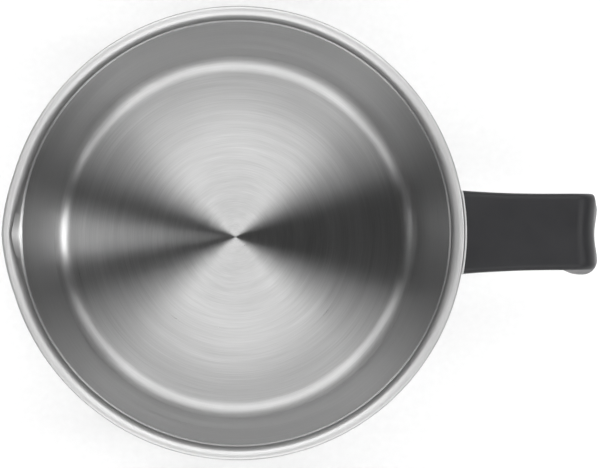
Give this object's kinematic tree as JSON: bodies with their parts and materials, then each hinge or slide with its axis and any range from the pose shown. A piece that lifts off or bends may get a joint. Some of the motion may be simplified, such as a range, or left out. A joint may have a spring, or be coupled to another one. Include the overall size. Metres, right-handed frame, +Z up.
{
  "type": "candle melting pot",
  "caption": "Double-walled stainless wax melting pot with a V pouring lip, a black moulded handle and a pull-out whistle plug that closes the jacket's filler tube in the handle.",
  "frame": {"origin": "on the pot's axis, at the flat face that it stands on", "axes": "+Z up along the pot's axis, +X towards the handle, the pouring lip points along -X"},
  "size_m": [0.2409, 0.17, 0.13],
  "materials": {
    "liner_steel": "brushed in rings, satin",
    "jacket_steel": "brushed around, satin",
    "base_steel": "turned, satin",
    "spreader_aluminium": "rolled, plain",
    "fitting_steel": "turned, bright",
    "handle_black": "fine moulded grain, satin",
    "plug_black": "fine moulded grain, satin",
    "seal_silicone": "moulded, matte"
  },
  "bodies": {
    "pot": {"inner_bowl": "liner_steel", "outer_shell": "jacket_steel", "base_core": "spreader_aluminium", "base_cap": "base_steel", "saddle_plate": "fitting_steel", "locating_stud_left": "fitting_steel", "locating_stud_right": "fitting_steel", "handle_body": "handle_black", "filler_tube": "fitting_steel", "seat_washer": "fitting_steel", "seat_ring": "fitting_steel", "tube_gasket": "seal_silicone"},
    "plug": {"plug_body": "plug_black", "plug_seal_inner": "seal_silicone", "plug_seal_outer": "seal_silicone", "whistle_outer_plate": "fitting_steel", "whistle_spacer": "fitting_steel", "whistle_inner_plate": "fitting_steel", "whistle_retainer": "fitting_steel"}
  },
  "joints": [
    {"name": "plug_pull", "type": "slide", "parent": "pot", "child": "plug", "axis": [1, 0, 0], "range_m": [0, 0.03]}
  ]
}
